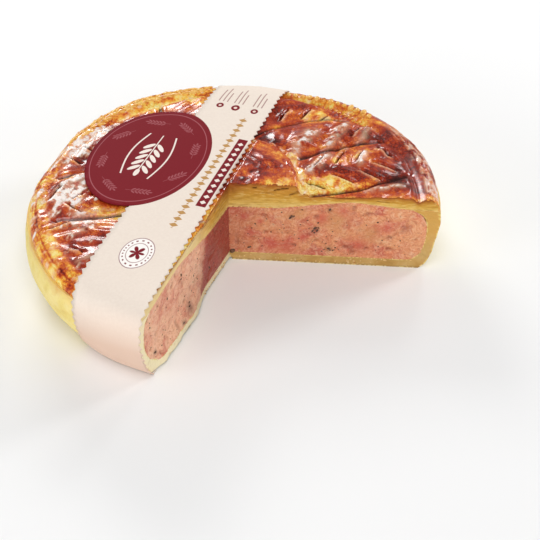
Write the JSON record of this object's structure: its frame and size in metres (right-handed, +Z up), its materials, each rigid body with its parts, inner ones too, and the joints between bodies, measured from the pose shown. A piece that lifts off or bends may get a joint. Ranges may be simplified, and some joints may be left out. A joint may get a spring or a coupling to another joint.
{
  "type": "meat pie with paper band",
  "caption": "Round meat pie with a glazed, leaf-scored pastry lid, a wedge cut out to show the filling, and a printed card band round it.",
  "frame": {"origin": "middle of the pie's round base, at the height of what it stands on", "axes": "+Z up; +X to the right along the right-hand knife cut; +Y to the back of the pie, away from the cut-out wedge"},
  "size_m": [0.175, 0.169, 0.0418],
  "materials": {
    "pale_pastry": "matt baked shortcrust, pale yellow",
    "meat_filling": "moist chopped meat, salmon pink with pale fat",
    "glazed_pastry": "glossy egg wash, golden to deep red-brown",
    "printed_card": "uncoated cream card with fields of deep red"
  },
  "bodies": {
    "root": {"base_crust": "pale_pastry", "filling": "meat_filling", "lid": "glazed_pastry", "paper_band": "printed_card"}
  },
  "joints": []
}
